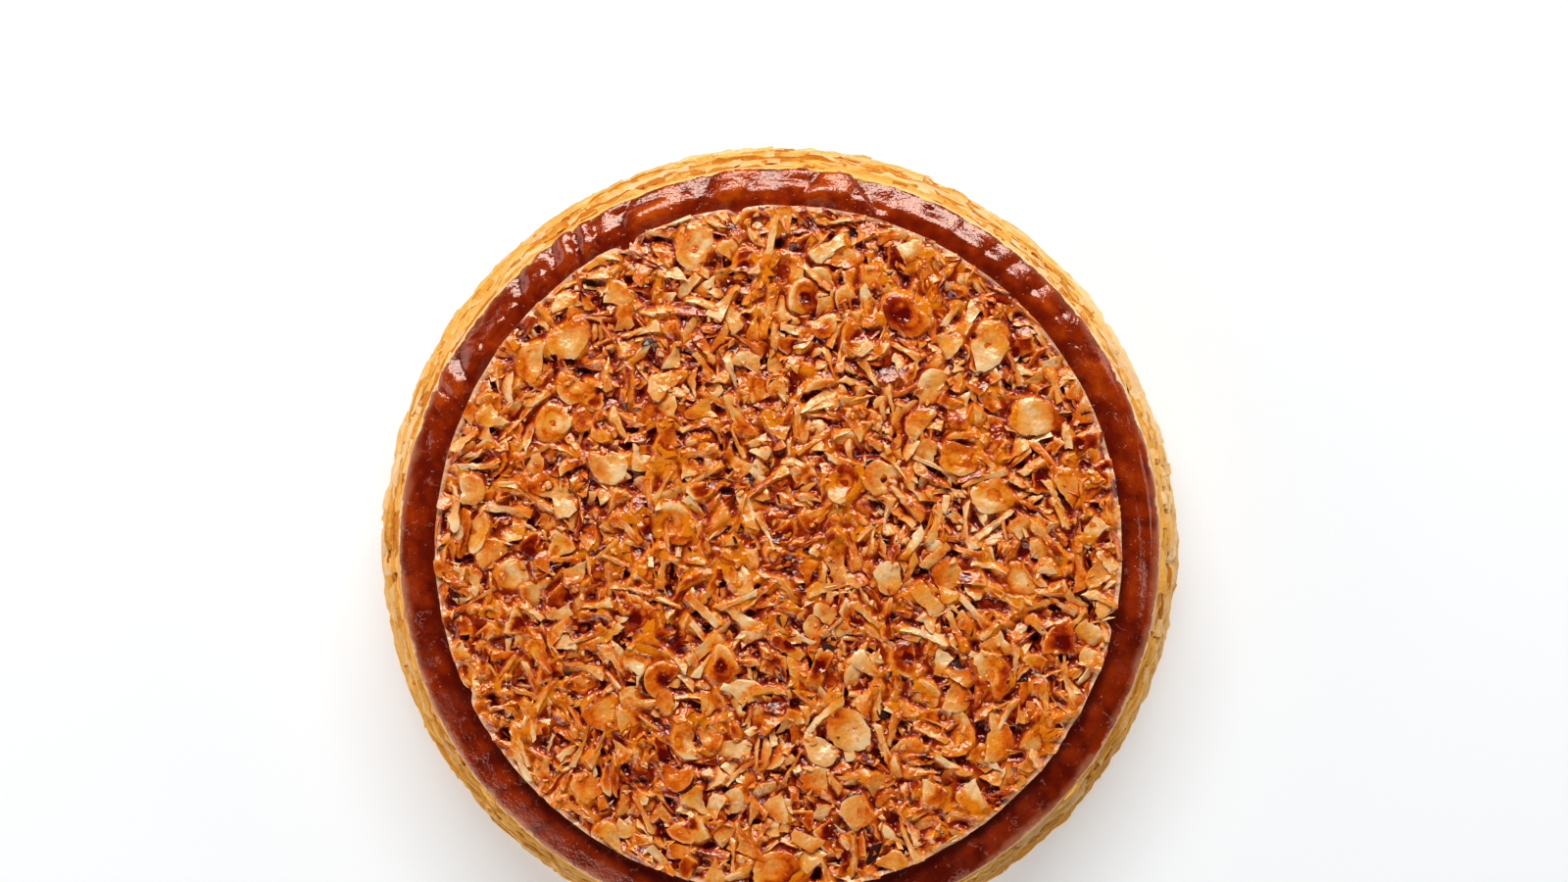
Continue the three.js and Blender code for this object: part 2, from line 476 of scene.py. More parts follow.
def sway(turn):
    """The slow in and out of the whole outline, as on the solid."""
    return SWAY * (ring_noise(turn, bumps=7, seed=8) - 0.5)


def leaf_wave(turn, height):
    """How far the leaves wave up or down at a place on the side."""
    slow = wall_noise(turn, height / 9, bumps=22, seed=40) - 0.5
    fast = wall_noise(turn, height / 5, bumps=64, seed=60) - 0.5
    free = between(height, *WAVES_FROM) * (1 - between(height, *WAVES_UP_TO))
    return (SLOW_WAVE * slow + FAST_WAVE * fast) * free


def stretch_noise(turn, stretches, seed):
    """Noise that holds one value along each stretch and then jumps to the next."""
    place = turn * stretches
    stretch = np.floor(place)
    here = chance(stretch % stretches, seed)
    there = chance((stretch + 1) % stretches, seed)
    return here + (there - here) * between(place - stretch, 0.9, 1)


def bundle_radius(turn, number):
    """Radius of the wall of one bundle, with the stretches that broke off, more of them higher up."""
    middle = np.clip((number + 0.5) * BUNDLE_PITCH, 0, SHOULDER_HEIGHT)
    long_break = LONG_BREAK_DEPTH * stretch_noise(turn, LONG_BREAKS, seed=number + 700) ** 2
    short_break = SHORT_BREAK_DEPTH * stretch_noise(turn, SHORT_BREAKS, seed=number + 800) ** 2
    return side_radius(middle) - (long_break + short_break) * between(number, *BREAKS_GROW)


def wall_radius(turn, waved):
    """Radius of the stepped side, by the height that a leaf has before it waves."""
    number, share = np.divmod(waved / BUNDLE_PITCH, 1)
    here = bundle_radius(turn, number)
    return here + (bundle_radius(turn, number + 1) - here) * between(share, 1 - LEDGE_SHARE, 1)


waved = heights + leaf_wave(turns, heights)
stepped_in = side_radius(heights) - wall_radius(turns, waved)
print("stair up to", stepped_in.max().round(2), "mm deep")

# %% [markdown]
# Between two bundles the side gapes in long narrow slots, finer grooves part the leaves of a bundle,
# their edges are frayed, and short upright cracks run across them. Each is a noise of its own that
# draws the points in. At the foot and under the crust they fade, because the dough sticks together.

# %% Slots, grooves, frays and cracks
SLOT_PLACE = 0.84
SLOT_DEPTH = 1.3
SLOT_HEIGHT = 0.55
SLOT_INWARDS = 0.3
LEAF_PITCH = 1.25
LEAF_GROOVE = 0.4
FRAY_DEPTH = 0.7
FRAY_PITCH = 1.1
FRAYS = 260
CRACKS = 300
CRACK_HEIGHT = 4.5
CRACK_DEPTH = 0.5
FOOT_FADE = (0, 2.5)
CRUST_FADE = (34, 35)
above_foot = between(heights, *FOOT_FADE)
at_crust = between(heights, *CRUST_FADE)
ledge = np.rint(waved / BUNDLE_PITCH - SLOT_PLACE)
from_slot = waved - (ledge + SLOT_PLACE) * BUNDLE_PITCH
slot_open = between(ring_noise(turns, bumps=40, seed=ledge + 500), 0.32, 0.62)
slot = SLOT_DEPTH * slot_open * np.exp(-((from_slot / SLOT_HEIGHT) ** 2))
slot *= above_foot * (1 - at_crust)
groove = LEAF_GROOVE * np.abs(np.cos(np.pi * waved / LEAF_PITCH)) ** 3
groove *= 2 * wall_noise(turns, waved / LEAF_PITCH, bumps=48, seed=110)
frayed = wall_noise(turns, waved / FRAY_PITCH, bumps=FRAYS, seed=90)
cracked = between(wall_noise(turns, waved / CRACK_HEIGHT, bumps=CRACKS, seed=130), 0.58, 0.85)
inwards = stepped_in + SLOT_INWARDS * slot + groove
inwards = inwards + FRAY_DEPTH * (frayed - 0.5) + CRACK_DEPTH * cracked
inwards *= above_foot * (1 - 0.4 * at_crust)
on_side = (heights < SHOULDER_HEIGHT - 0.2) & (radii > DISC_RADIUS + 6)
print("side from", inwards[on_side].min().round(2), "to", inwards[on_side].max().round(2), "mm deep")

# %% [markdown]
# The crust is one sheet that was brushed with egg and sugar. It puffed up into pillows with sharp
# creases between them, most of all on the far left of the photograph, and stayed nearly smooth on the
# near side. A wave folded over at zero gives just that shape, round tops and sharp valleys, and its
# pitch wanders, so that no two pillows are alike. Smaller wrinkles lie on them.

# %% Pillows of the crust
PILLOWS = 52
PILLOW_HEIGHT = 1.7
PILLOW_ROUNDNESS = 0.6
PILLOW_SLANT = 0.04
PITCH_WANDER = 1.9
WRINKLES = 120
WRINKLE_WIDTH = 5
WRINKLE_HEIGHT = 0.7
WRINKLE_WANDER = 0.012
CALM = 0.07
LIVELY_STRETCHES = ((1.2, 130, 28), (0.5, 92, 20), (0.4, 50, 30))
RING_FROM = (DISC_RADIUS + 0.5, DISC_RADIUS + 4)
RING_ABOVE = (34.6, 36.6)
slanted = turns * PILLOWS + PILLOW_SLANT * (radii - CREST_RADIUS)
slanted += PITCH_WANDER * ring_noise(turns, bumps=31, seed=91)
pillow = np.abs(np.sin(np.pi * slanted)) ** PILLOW_ROUNDNESS
pillow *= 0.35 + 1.25 * ring_noise(turns, bumps=PILLOWS, seed=95)
wander = WRINKLE_WANDER * (wall_noise(turns, radii / 4, bumps=60, seed=300) - 0.5)
wandering = (turns + wander) % 1
wrinkle = np.abs(2 * wall_noise(wandering, radii / WRINKLE_WIDTH, bumps=WRINKLES, seed=400) - 1)
liveliness = sum((share * hill(turns, *stretch) for share, *stretch in LIVELY_STRETCHES), CALM)
on_ring = between(radii, *RING_FROM) * between(heights, *RING_ABOVE)
swell = PILLOW_HEIGHT * (pillow - 0.5) + WRINKLE_HEIGHT * (wrinkle - 0.5)
swell *= liveliness * on_ring
print("pillows from", swell.min().round(2), "to", swell.max().round(2), "mm")

# %% [markdown]
# On the right the sheet lies in a few low folds, and beside the far end it has torn: along a slanted
# line it drops by a millimetre and then slowly comes up again.

# %% Folds and a tear
FOLDS = 34
FOLD_HEIGHT = 1.0
FOLD_WIDTH = 2.4
FOLDED_STRETCH = (-8, 36)
TEAR_ANGLE = 75.5
TEAR_SLANT = 0.5
TEAR_DEPTH = 1.3
TEAR_EDGE = 0.6
TEAR_REACH = 9
fold = np.abs(2 * wall_noise(wandering, radii / FOLD_WIDTH, bumps=FOLDS, seed=450) - 1)
swell += FOLD_HEIGHT * hill(turns, *FOLDED_STRETCH) * (fold - 0.5) * on_ring
tear_line = TEAR_ANGLE + TEAR_SLANT * (radii - CREST_RADIUS)
past_tear = -degrees_past(turns, tear_line) * np.radians(radii)
sagged = between(past_tear, 0, TEAR_EDGE) * np.exp(-np.maximum(past_tear, 0) / TEAR_REACH)
swell -= TEAR_DEPTH * sagged * on_ring
print("crust swells by", swell.min().round(2), "to", swell.max().round(2), "mm")

# %% [markdown]
# Now every point is moved, and the mesh is told what the finishes need to know of each: how far it
# lies towards the far side, where the glaze is painted brighter as if lit by the large window and the
# leaves are browner, where the leaves are paler, how high it lies, how far a pillow puffed up, for
# painted light on its top and painted shade in its creases, and how deep it sits between the leaves,
# for painted shade there. Low on the side the leaves' toasted tone and that painted shade are weaker.

# %% Shape the pastry
# Towards the far side the glaze is painted brighter, as if lit by the large window.
FAR_SIDE_HILL = (90, 78)
BLOND_STRETCH = (22, 42)
TOAST_AND_SHADE_HEIGHTS = (15, 29)


def move_points(piece, points):
    """Put the points of a mesh at places in millimetres."""
    piece.data.vertices.foreach_set("co", (points * MM).astype(np.float32).ravel())
    piece.data.update()


def carry(piece, **values):
    """Store values for each point under their names, for the finish to read."""
    for name, value in values.items():
        layer = piece.data.attributes.new(name, "FLOAT", "POINT")
        layer.data.foreach_set("value", np.asarray(value, np.float32))


def side_hills(turn):
    """How far a place lies towards the far side, where the glaze is painted lighter as if lit, and how
    pale its leaves are.
    """
    return {"bake": hill(turn, *FAR_SIDE_HILL), "blond": hill(turn, *BLOND_STRETCH)}


def toast_and_shade_share(height):
    """How much of its toasted colour and painted shade a leaf takes on at a height."""
    return 0.5 + 0.5 * between(height, *TOAST_AND_SHADE_HEIGHTS)


away = np.where(on_side, -inwards, swell)
moved = places + ways * away[:, None]
moved[:, 2] -= np.where(on_side, slot, 0)
drawn_in = sway(turns) * between(radii, DISC_RADIUS, CREST_RADIUS)
moved[:, :2] -= (moved[:, :2] - AXIS) * (drawn_in / radii)[:, None]
move_points(pastry, moved)
puff_light_share = np.clip(pillow * 0.7 + wrinkle * 0.3, 0, 1) * on_ring
# Slots, grooves, frays and cracks are darkened in the finish as painted shade, weaker low on the side.
recess = np.clip(slot / 0.9 + groove + 0.6 * between(frayed, 0.55, 0.85) + 0.7 * cracked, 0, 1)
recess = np.where(on_side, recess * toast_and_shade_share(heights), 0)
carry(pastry, puff=puff_light_share, rise=heights, recess=recess, **side_hills(turns))
print("moved by up to", np.abs(moved - places).max().round(2), "mm")

# %% [markdown]
# The body is still open at its base and under the disc of nuts. Each open ring of edges is filled
# with a face and poked, which joins its corners to a point in the middle.

# %% Close the pastry
def select_open_ring(piece, low, high):
    """Select the edges with one face that lie between two heights, in edit mode."""
    bpy.ops.mesh.select_all(action="DESELECT")
    bpy.ops.mesh.select_mode(type="EDGE")
    bpy.ops.mesh.select_non_manifold()
    bpy.ops.object.mode_set(mode="OBJECT")
    for edge in piece.data.edges:
        height = piece.data.vertices[edge.vertices[0]].co.z / MM
        edge.select = edge.select and bool(low < height < high)
    bpy.ops.object.mode_set(mode="EDIT")


def triangles_of(piece):
    """How many triangles a piece has."""
    return sum(len(face.vertices) - 2 for face in piece.data.polygons)


bpy.ops.object.mode_set(mode="EDIT")
for level in (0, CRUST_FLAT):
    select_open_ring(pastry, level - 1, level + 1)
    bpy.ops.mesh.edge_face_add()
    bpy.ops.mesh.poke()
face_outwards()
bpy.ops.object.shade_smooth()
print("pastry of", triangles_of(pastry), "triangles")

# %% [markdown]
# Relief alone can't hang over, but real leaves do: their thin edges stick out and throw small
# shadows. So strips of leaf are set into the side, some thousands of them: long ones that run out to
# nothing at their ends, and short torn flakes with blunt ends. Each is a thin flat bar that is bent
# round the cake and waves with the leaves beside it. Bars this many are quickest as one joined mesh,
# worked out section by section.

# %% A mesh from many small shapes
class JoinedMesh:
    """Points, faces and carried values of many small shapes that become one mesh."""

    def __init__(self):
        self.points = []
        self.faces = []
        self.values = {}
        self.count = 0

    def add(self, points, faces, **values):
        """Add one shape; each value is one number, or one for each point."""
        self.points.append(points)
        self.faces += [[corner + self.count for corner in face] for face in faces]
        self.count += len(points)
        for key, value in values.items():
            self.values.setdefault(key, []).append(np.broadcast_to(value, len(points)))

    def to_piece(self, name, finish, sharp_angle=50):
        """The joined mesh as a new object, smooth but for edges past an angle in degrees."""
        mesh = bpy.data.meshes.new(name)
        mesh.from_pydata((np.concatenate(self.points) * MM).tolist(), [], self.faces)
        piece = bpy.data.objects.new(name, mesh)
        bpy.context.scene.collection.objects.link(piece)
        carry(piece, **{key: np.concatenate(value) for key, value in self.values.items()})
        mesh.materials.append(finish.material)
        take(piece)
        bpy.ops.object.shade_smooth_by_angle(angle=math.radians(sharp_angle))
        print(name, "of", len(self.points), "shapes and", triangles_of(piece), "triangles")
        return piece


def tube_faces(sections, around):
    """Faces of a tube of sections with a number of points around, closed at both ends."""
    faces = []
    for section in range(sections - 1):
        for side in range(around):
            first = section * around + side
            second = section * around + (side + 1) % around
            faces.append([first, second, second + around, first + around])
    faces.append(list(range(around))[::-1])
    faces.append(list(range((sections - 1) * around, sections * around)))
    return faces


# %% One strip of leaf
STRIP_STEP = 2.2
STRIP_THICKNESSES = (0.45, 0.8)
STRIP_ENDS = (0.5, 3)
LEAST_JUT = 0.1
ROOT_DEPTH = 1.2
SETBACK = 0.25
LIP_SETBACK = 0.12
LEVEL_SPREAD = 0.25
TIP_SPREAD = 0.35
rng = np.random.default_rng(12)
strips = JoinedMesh()


def way_at(angle):
    """The unit arrow at an angle."""
    return np.array([np.cos(angle), np.sin(angle)])


def leaf_strip(start, length, level, blunt, most_jut):
    """Points of one strip, with blunt or thin ends: bars of four points, from one end to the other."""
    along = np.linspace(0, 1, max(3, int(length / STRIP_STEP)))
    turn = (start + along * length / WIDEST_RADIUS / TURN) % 1
    fade = np.clip(np.minimum(along, 1 - along) * length / rng.uniform(*STRIP_ENDS), blunt, 1) ** 0.6
    jut = rng.uniform(LEAST_JUT, most_jut) * fade
    jut = jut * (0.55 + 0.9 * ring_noise(turn, bumps=240, seed=rng.integers(99)))
    height = level - leaf_wave(turn, level) + rng.normal(0, LEVEL_SPREAD)
    edge = wall_radius(turn, level) - sway(turn) + jut - SETBACK
    root = edge - jut - ROOT_DEPTH
    tip = height + rng.normal(0, TIP_SPREAD) * jut
    thick = rng.uniform(*STRIP_THICKNESSES)
    rows = [
        (root, height - thick / 2),
        (edge, tip - thick / 4),
        (edge - LIP_SETBACK, tip + thick / 4),
        (root, height + thick / 2),
    ]
    arrows = way_at(turn * TURN)
    bars = [(*(AXIS[:, None] + radius * arrows), np.maximum(tall, 0)) for radius, tall in rows]
    return np.array(bars).transpose(2, 0, 1).reshape(-1, 3)


def add_strip(start, length, level, blunt, most_jut):
    """Add one strip to the joined mesh, with what its finish needs."""
    points = leaf_strip(start, length, level, blunt, most_jut)
    bars = len(points) // 4
    lip = np.tile([0.0, 1.0, 1.0, 0.0], bars)
    toast = rng.uniform() * toast_and_shade_share(level)
    strips.add(points, tube_faces(bars, 4), lip=lip, toast=toast, **side_hills(start % 1))


# %% Set the strips into the side
STRIP_PLACES = (0.15, 0.5)
STRIP_LENGTHS = (9, 46)
STRIP_GAPS = (2, 26)
LONG_STRIP = {"blunt": 0.02, "most_jut": 1.2}
FLAKES = 3000
FLAKE_LENGTHS = (1.5, 8)
FLAKE_LEVELS = (2, 35.4)
TORN_FLAKE = {"blunt": 0.8, "most_jut": 0.9}
for level in [BUNDLE_PITCH * (number + place) for number in range(BUNDLES) for place in STRIP_PLACES]:
    start = rng.uniform()
    end = start + 1
    while start < end:
        length = rng.uniform(*STRIP_LENGTHS)
        add_strip(start, length, level, **LONG_STRIP)
        start += (length + rng.uniform(*STRIP_GAPS)) / WIDEST_RADIUS / TURN
for _ in range(FLAKES):
    add_strip(rng.uniform(), rng.uniform(*FLAKE_LENGTHS), rng.uniform(*FLAKE_LEVELS), **TORN_FLAKE)
print("strips of leaf:", len(strips.points))

# %% [markdown]
# Baked leaves are dry and pale gold on their faces, and more orange where they are thin or toasted,
# and where painted shade darkens them between the leaves. The grain of the dough runs along the
# leaves, so the noise is squeezed in height. On the far side the painted shade in the gaps between
# the leaves is deeper and the leaves are browner. On the near side the leaves are more golden, their
# lips lighter as painted highlight and their roots darker as painted shade.

# %% Golden leaf finish
PALE_LEAF = screen_colour(248, 218, 168)
GOLD_LEAF = screen_colour(246, 186, 82)
TOAST_LEAF = screen_colour(208, 124, 12)
STREAK_STRETCH = (1, 1, 7)
SPECK_STRETCH = (1, 1, 2)
PATCH_STRETCH = (1, 1, 1.6)
RELIEF_STRETCH = (1, 1, 3)


def near_side(finish):
    """1 on the side of the cake that faces away from the large window."""
    return 1 - step(carried(finish, "bake"), 0.03, 0.35)


def leaf_colour(finish, depth):
    """Colour of the leaves, darker by toast and by the painted shade of their depth."""
    far = carried(finish, "bake")
    near = near_side(finish)
    streak = grain(finish, 9, STREAK_STRETCH, detail=4)
    speck = grain(finish, 1.5, SPECK_STRETCH, detail=2)
    patch = grain(finish, 26, PATCH_STRETCH, detail=2)
    # Depth is painted shade in the recesses, deeper on the far side; the far side is also browner, and
    # the blond stretch paler.
    browning = streak * 0.4 + speck * 0.6 + depth * (0.95 + far * 0.55) + far * 0.24
    browning = browning - carried(finish, "blond") * 0.22
    golden = step(browning + patch * 0.4 + near * 0.35, 0.5, 1.1)
    toasted = step(browning + near * 0.15, 0.8, 1.35)
    return mixed(toasted, mixed(golden, PALE_LEAF, GOLD_LEAF), TOAST_LEAF)


def leaf_relief(finish):
    """Height of the fine relief on the leaves."""
    return grain(finish, 2.2, RELIEF_STRETCH, detail=4)


leaf = Finish("golden_leaf")
near = near_side(leaf)
# On the near side the lips are lighter as painted highlight and the roots darker as painted shade; the
# toast of each strip is its own tone.
lip_tone_and_highlight = carried(leaf, "lip") * (0.2 - near * 0.65)
leaf_shade_and_toast = carried(leaf, "toast") * 0.9 + lip_tone_and_highlight + near * 0.4 - 0.35
leaf.surface(
    Base_Color=leaf_colour(leaf, leaf_shade_and_toast),
    Roughness=0.62,
    Specular_IOR_Level=0.2,
    Normal=bumped(leaf_relief(leaf), depth=0.5, strength=0.8),
)
pastry_leaves = strips.to_piece("pastry_leaves", leaf, sharp_angle=40)

# %% [markdown]
# The glazed crust is another finish on the same mesh as the side. It could be a second material on
# the upper faces, but the brush that put the egg on left a ragged line, finer than the faces. So one
# finish holds both, and a mask on the height, with coarse and fine noise in it, parts them. A pale
# line along the edge is painted sheen, left out on the far side.

# %% Edge of the glaze
GLAZE_EDGE = 37.75
crust = Finish("baked_pastry")
bake = carried(crust, "bake")
rise = carried(crust, "rise")
edge_wobble = grain(crust, 9) * 2.2 + grain(crust, 2.5) * 1.1
past_edge = rise + edge_wobble - GLAZE_EDGE
glazed = step(past_edge, -0.1, 0.15)
# A pale line along the edge of the glaze: painted sheen, not on the far side.
edge_sheen_line = (1 - step(past_edge * past_edge, 0.01, 0.09)) * (1 - bake)
print("glaze above", GLAZE_EDGE, "mm with its wobble")

# %% [markdown]
# The glaze is mahogany brown, mottled darker and warmer. Painted shade darkens it in the creases, and
# painted light warms it on the pillows and brightens it most on the far side, which faces the large
# window. Towards its edge it is thin and shows the pastry, and pale threads cross it, where the brush
# left sugar. A thread is where smooth noise passes through its middle value.

# %% Colour of the glaze
DEEP_GLAZE = screen_colour(98, 17, 2)
WARM_GLAZE = screen_colour(150, 43, 4)
BRIGHT_GLAZE = screen_colour(212, 92, 8)
THIN_GLAZE = screen_colour(186, 112, 78)
PALE_THREAD_AND_SHEEN = screen_colour(214, 160, 146)
THIN_UP_TO = (37.6, 38.8)
mottle = grain(crust, 6, detail=4)
puff = carried(crust, "puff")
# The mottle is the glaze's own colour; the pillows add painted light on their tops and painted shade
# in their creases, and the far side adds painted light.
warm_and_lit = step(mottle + puff * 0.35 + bake * 0.2, 0.5, 1.0)
bright_and_lit = step(mottle + puff * 0.35 + bake * 0.38, 0.95, 1.5)
glaze_colour = mixed(bright_and_lit, mixed(warm_and_lit, DEEP_GLAZE, WARM_GLAZE), BRIGHT_GLAZE)
thin = 1 - step(rise + grain(crust, 11, detail=4) * 3.0, *THIN_UP_TO)
glaze_colour = mixed(thin * (1 - bake), glaze_colour, THIN_GLAZE)
from_thread = grain(crust, 8, detail=4) - 0.5
thread = (1 - step(from_thread * from_thread, 0.00003, 0.00025)) * (1 - bake)
thread = thread * step(grain(crust, 5, detail=1), 0.54, 0.62)
glaze_colour = mixed(thread * 0.25, glaze_colour, PALE_THREAD_AND_SHEEN)
crust_colour = mixed(glazed, leaf_colour(crust, carried(crust, "recess")), glaze_colour)
# The pale line along the edge is painted sheen; the threads share its colour.
crust_colour = mixed(edge_sheen_line * 0.45, crust_colour, PALE_THREAD_AND_SHEEN)

# %% [markdown]
# A dried glaze isn't a mirror. It has a mottled, crinkled skin with small pores, and it shines in
# patches, most of all on the far side. Its glints are rosy, because the brown under them shows
# through. The dry side below has the relief of the leaves.

# %% Relief and shine of the crust
ROSE_GLINT = (1, 0.78, 0.66, 1)
crinkle = grain(crust, 2.6, detail=2)
fine = grain(crust, 0.9, detail=2)
pore = step(grain(crust, 1.3, detail=1), 0.68, 0.76) * glazed
crimp = step(bake, 0.85, 1)
glaze_relief = mottle * 0.7 + crinkle * 0.5 + fine * 0.5 - pore * 0.4 + edge_sheen_line * 0.5
glaze_relief = glaze_relief * glazed * (1 - bake * 0.6 + crimp * 0.6)
crust_relief = leaf_relief(crust) * 2 * (1 - glazed) + glaze_relief
shine = step(grain(crust, 10) + bake * 0.5, 0.42, 0.62)
crust.surface(
    Base_Color=crust_colour,
    Roughness=0.62 - glazed * (0.34 + shine * 0.2),
    Specular_IOR_Level=0.75,
    Specular_Tint=ROSE_GLINT,
    Normal=bumped(crust_relief, depth=0.5, strength=0.6),
)
pastry.data.materials.append(crust.material)

# %% [markdown]
# Now the nuts. A slice across a hazelnut is an uneven round, and everything else in the disc is such
# a round that broke: a chip has lost two or three sides along breaks, and a sliver is what stays
# between two breaks that run side by side. One helper takes everything past a break off an outline,
# and makes all of them, and it also trims the pieces at the edge of the disc.

# %% Outlines of nut pieces
NUT_RADII = (5.2, 7.4)
NUT_STRETCHES = (0.03, 0.22)
NUT_LUMP = 0.05
BREAK_STEP = 1.3
BREAK_ROUGHNESS = 0.17
BITES = 3
BITE_DEPTHS = (0, 0.3)
BITE_WIDTHS = (0.2, 0.6)
SLIVER_BEND = 0.009


def broken(outline, way, reach):
    """The outline without what lies past a straight break."""
    past = outline @ way - reach
    kept = []
    for here, there, out, out_next in zip(outline, np.roll(outline, -1, 0), past, np.roll(past, -1)):
        if out <= 0:
            kept.append(here)
        if out * out_next < 0:
            kept.append(here + (there - here) * out / (out - out_next))
    return np.array(kept).reshape(-1, 2)


def round_outline(size, sides):
    """Outline of a whole slice, longer one way and a little uneven."""
    angle = np.linspace(0, TURN, sides, endpoint=False)
    longer = rng.uniform(*NUT_STRETCHES)
    lump = rng.uniform(0, TURN)
    radius = size * (1 + longer * np.cos(2 * angle) + NUT_LUMP * np.cos(3 * angle + lump))
    return (radius * way_at(angle)).T


def roughened(outline):
    """The outline with its long edges split and its points shifted a little, as a break runs."""
    points = []
    for here, there in zip(outline, np.roll(outline, -1, 0)):
        parts = max(1, int(round(np.hypot(*(there - here)) / BREAK_STEP)))
        points += [here + (there - here) * part / parts for part in range(parts)]
    return np.array(points) + rng.normal(0, BREAK_ROUGHNESS, (len(points), 2))


def bitten(outline):
    """The outline with dents where crumbs have broken out."""
    angle = np.arctan2(outline[:, 1], outline[:, 0])
    for _ in range(BITES):
        away = (angle - rng.uniform(0, TURN) + math.pi) % TURN - math.pi
        dent = rng.uniform(*BITE_DEPTHS) * np.exp(-((away / rng.uniform(*BITE_WIDTHS)) ** 2))
        outline = outline * (1 - dent)[:, None]
    return outline


def curved(outline):
    """The outline of a sliver, bent sideways along its length."""
    along = np.linalg.svd(outline, full_matrices=False)[2][0]
    across = np.array([-along[1], along[0]])
    bend = (outline @ along) ** 2
    return outline + np.outer(bend - bend.mean(), across) * rng.normal(0, SLIVER_BEND)


def area_of(outline):
    """Area inside an outline."""
    x, y = outline.T
    return 0.5 * np.sum(x * np.roll(y, -1) - y * np.roll(x, -1))


# %% [markdown]
# The three kinds differ in where they broke. A break is an angle and how far from the nut's middle
# it runs, as a share of the nut's size, drawn from the ranges below. A piece that came out too small
# for its kind is thrown away, and another nut is broken instead.

# %% Kinds of nut pieces
SIDES = {"slices": 20, "chips": 14, "slivers": 12}
LEAST_AREAS = {"slices": 55.0, "chips": 24.0, "slivers": 11.0}
WHOLE_SLICES = 0.25
THIRD_BREAKS = 0.35
CROSS_BREAKS = 0.3
SLIVER_HALF_WIDTHS = (0.6, 1.35)


def slice_breaks(size):
    """A whole slice, or one with a side broken off."""
    if rng.uniform() < WHOLE_SLICES:
        return []
    return [(rng.uniform(0, TURN), size * rng.uniform(0.1, 0.8))]


def chip_breaks(size):
    """Two or three breaks that leave a chip."""
    angle = rng.uniform(0, TURN)
    breaks = [(angle, size * rng.uniform(-0.15, 0.45))]
    breaks.append((angle + rng.uniform(1.4, 3.4), size * rng.uniform(0.0, 0.6)))
    if rng.uniform() < THIRD_BREAKS:
        breaks.append((angle - rng.uniform(1.2, 2.0), size * rng.uniform(0.2, 0.7)))
    return breaks


def sliver_breaks(size):
    """Two breaks side by side along the nut, and sometimes one across."""
    angle = math.pi / 2 + rng.normal(0, 0.3)
    middle = size * rng.uniform(-0.6, 0.6)
    half = rng.uniform(*SLIVER_HALF_WIDTHS)
    breaks = [(angle, middle + half), (angle + math.pi + rng.normal(0, 0.2), half - middle)]
    if rng.uniform() < CROSS_BREAKS:
        breaks.append((0, size * rng.uniform(0.0, 0.6)))
    return breaks


BREAKS = {"slices": slice_breaks, "chips": chip_breaks, "slivers": sliver_breaks}


def nut_outline(kind):
    """Outline of a nut piece, turned anyhow round its own middle, with the nut's middle and size."""
    while True:
        size = rng.uniform(*NUT_RADII)
        outline = round_outline(size, SIDES[kind])
        for angle, reach in BREAKS[kind](size):
            outline = broken(outline, way_at(angle), reach)
        if len(outline) > 2 and area_of(outline) > LEAST_AREAS[kind]:
            along = way_at(rng.uniform(0, TURN))
            turned = np.array([along, (-along[1], along[0])])
            middle = outline.mean(0)
            return (outline - middle) @ turned, -middle @ turned, size


# %% [markdown]
# To make a heap look dropped, the pieces are dropped. A grid over the disc remembers how high the
# heap is in each cell. Near its cut edge the disc is built up from its floor, so that its wall shows
# nuts as well, and elsewhere it starts on a core. The knife left a few notches in the edge, each
# given by its angle and half width in degrees and its depth.

# %% The heap so far
CELL = 0.5
HALF = int(DISC_RADIUS / CELL) + 16
CORE_TOP = CRUST_FLAT + 1.7
WALL_BASE = CRUST_FLAT + 0.2
WALL_WIDTH = 7
RIM_WOBBLE = 0.4
NOTCHES = ((116.5, 1.5, 3.4), (97, 0.9, 2.0), (-12, 1.1, 3.0), (205, 1.0, 1.6))
cell_places = np.arange(-HALF, HALF + 1) * CELL
cell_x, cell_y = np.meshgrid(cell_places, cell_places, indexing="ij")


def rim(x, y):
    """Radius of the cut edge of the disc in the direction of a place, with its notches."""
    turn = (np.arctan2(y, x) / TURN) % 1
    radius = DISC_RADIUS - RIM_WOBBLE * ring_noise(turn, bumps=90, seed=17)
    for angle, width, depth in NOTCHES:
        radius = radius - depth * hill(turn, angle, width)
    return radius


from_rim = rim(cell_x, cell_y) - np.hypot(cell_x, cell_y)
inside_rim = from_rim > 0
heap = np.where(from_rim > WALL_WIDTH, CORE_TOP, WALL_BASE)
print("cells in the disc:", int(inside_rim.sum()))

# %% [markdown]
# A piece tries a few spots and takes the lowest. It lies down on what is there, with the tilt of the
# heap under it and a lean of its own, sinks in a little, and raises the cells that it covers.

# %% Let a piece come to rest
MOST_SLOPE = 0.5
SINK_SHARE = 0.93
LEANT_SINK = 0.35
STEEP = 0.8


def cells_under(outline):
    """Grid points inside an outline with no dents."""
    low, high = outline.min(0), outline.max(0)
    across, along = np.meshgrid(np.arange(low[0], high[0], CELL), np.arange(low[1], high[1], CELL))
    points = np.column_stack([across.ravel(), along.ravel()])
    inside = np.ones(len(points), bool)
    for corner, side in zip(outline, np.roll(outline, -1, 0) - outline):
        inside &= side[0] * (points[:, 1] - corner[1]) >= side[1] * (points[:, 0] - corner[0])
    return points[inside]


def cell_numbers(points):
    """Row and column of the cell at each point."""
    numbers = np.clip(np.rint(points / CELL).astype(int) + HALF, 0, 2 * HALF)
    return numbers[..., 0], numbers[..., 1]


